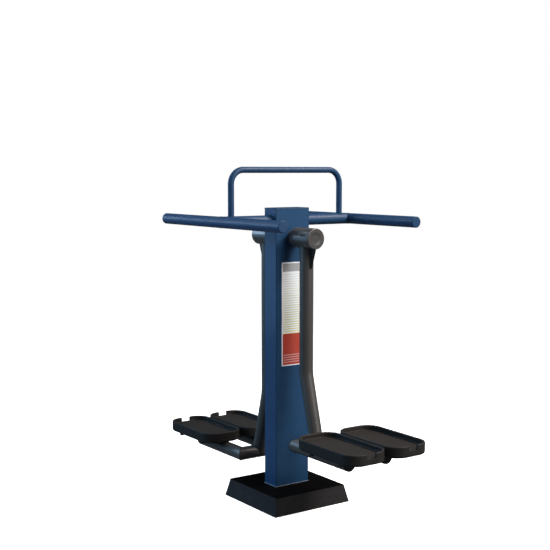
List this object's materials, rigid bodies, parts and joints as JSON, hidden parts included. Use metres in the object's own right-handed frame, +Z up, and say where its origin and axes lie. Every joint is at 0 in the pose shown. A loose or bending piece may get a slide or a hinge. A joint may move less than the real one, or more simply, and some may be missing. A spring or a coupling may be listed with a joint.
{
  "type": "outdoor pendulum exercise machine",
  "caption": "Outdoor gym machine: blue column with long hand bars and a hoop, and independent pendulums with black foot trays that swing from side to side.",
  "frame": {"origin": "on the ground, under the middle of the base cover and column", "axes": "+Z up; X along the cross tube, from hand bar to hand bar; Y along the pivot axle and the hand bars, with the taller-standing front pendulum on the -Y side"},
  "size_m": [0.7402, 1.4436, 1.4902],
  "materials": {
    "blue_paint": "satin powder coat, deep blue, fine orange peel",
    "dark_paint": "satin powder coat, anthracite to black",
    "black_cover_paint": "satin powder coat, near black",
    "black_plastic": "matte moulded, fine grain",
    "black_rubber": "matte",
    "bearing_polymer": "smooth bearing polymer",
    "galvanised_steel": "hot-dip galvanised",
    "bare_steel": "machined",
    "dark_steel_fastener": "black zinc",
    "brass_insert": "machined"
  },
  "bodies": {
    "stand": {"ground_flange": "galvanised_steel", "flange_ribs": "galvanised_steel", "base_cover": "black_cover_paint", "column_tube": "blue_paint", "column_cap": "blue_paint", "cross_tube": "blue_paint", "handle_left": "blue_paint", "handle_right": "blue_paint", "handle_caps": "blue_paint", "arch_tube": "blue_paint", "pivot_axle": "dark_paint", "axle_plugs": "bare_steel", "front_thrust_washer": "dark_paint", "front_stop_key": "bare_steel", "front_retaining_disc": "bare_steel", "front_axle_bolt": "bare_steel", "rear_thrust_washer": "dark_paint", "rear_stop_key": "bare_steel", "rear_retaining_disc": "bare_steel", "rear_axle_bolt": "bare_steel"},
    "front_pendulum": {"front_hub_housing": "dark_paint", "front_hub_bushings": "bearing_polymer", "front_hub_cap": "dark_paint", "front_stop_buffers": "black_rubber", "front_arm_tube": "dark_paint", "front_hub_gusset": "dark_paint", "front_foot_bar": "dark_paint", "front_pedal_tube_left": "dark_paint", "front_pedal_tube_right": "dark_paint", "front_tube_caps": "black_plastic", "front_pedal_plate_left": "dark_paint", "front_pedal_plate_right": "dark_paint", "front_pedal_left": "black_plastic", "front_pedal_right": "black_plastic", "front_pedal_inserts": "brass_insert", "front_pedal_washers": "dark_steel_fastener", "front_pedal_bolts": "dark_steel_fastener"},
    "rear_pendulum": {"rear_hub_housing": "dark_paint", "rear_hub_bushings": "bearing_polymer", "rear_hub_cap": "dark_paint", "rear_stop_buffers": "black_rubber", "rear_arm_tube": "dark_paint", "rear_hub_gusset": "dark_paint", "rear_foot_bar": "dark_paint", "rear_pedal_tube_left": "dark_paint", "rear_pedal_tube_right": "dark_paint", "rear_tube_caps": "black_plastic", "rear_pedal_plate_left": "dark_paint", "rear_pedal_plate_right": "dark_paint", "rear_pedal_left": "black_plastic", "rear_pedal_right": "black_plastic", "rear_pedal_inserts": "brass_insert", "rear_pedal_washers": "dark_steel_fastener", "rear_pedal_bolts": "dark_steel_fastener"}
  },
  "joints": [
    {"name": "front_swing", "type": "hinge", "parent": "stand", "child": "front_pendulum", "pos_m": [0, -0.133, 1.184], "axis": [0, 1, 0], "range_deg": [-35, 35]},
    {"name": "rear_swing", "type": "hinge", "parent": "stand", "child": "rear_pendulum", "pos_m": [0, 0.133, 1.184], "axis": [0, 1, 0], "range_deg": [-35, 35]}
  ]
}
